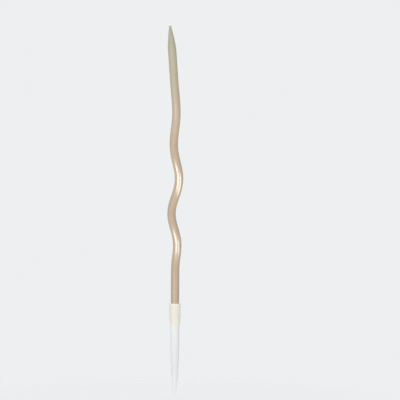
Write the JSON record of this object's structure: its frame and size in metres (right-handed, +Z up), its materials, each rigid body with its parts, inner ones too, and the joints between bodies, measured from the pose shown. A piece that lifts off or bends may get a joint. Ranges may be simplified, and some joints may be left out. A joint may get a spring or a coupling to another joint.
{
  "type": "wavy birthday candle",
  "caption": "Thin gold-dipped birthday candle with a wavy wax stem and a cotton wick, standing in the cup of a white plastic cake pick.",
  "frame": {"origin": "on the pick's axis where the spike leaves the cup, at the top of the cake", "axes": "+Z up the candle along the pick's axis, +X towards the side that the first wave swells to, +Y away from the viewer of the picture"},
  "size_m": [0.0076, 0.0074, 0.1755],
  "materials": {
    "white_plastic": "slightly translucent white moulding, soft gloss",
    "ivory_wax": "bare ivory candle wax, waxy satin",
    "gold_dip": "champagne-gold metallic wax dip, satin with bright highlights",
    "cotton": "braided cotton stiffened with wax"
  },
  "bodies": {
    "pick": {"holder": "white_plastic"},
    "candle": {"wax_core": "ivory_wax", "gold_coat": "gold_dip", "wick": "cotton"}
  },
  "joints": [
    {"name": "candle_pull", "type": "slide", "parent": "pick", "child": "candle", "axis": [0, 0, 1], "range_m": [0, 0.02]}
  ]
}
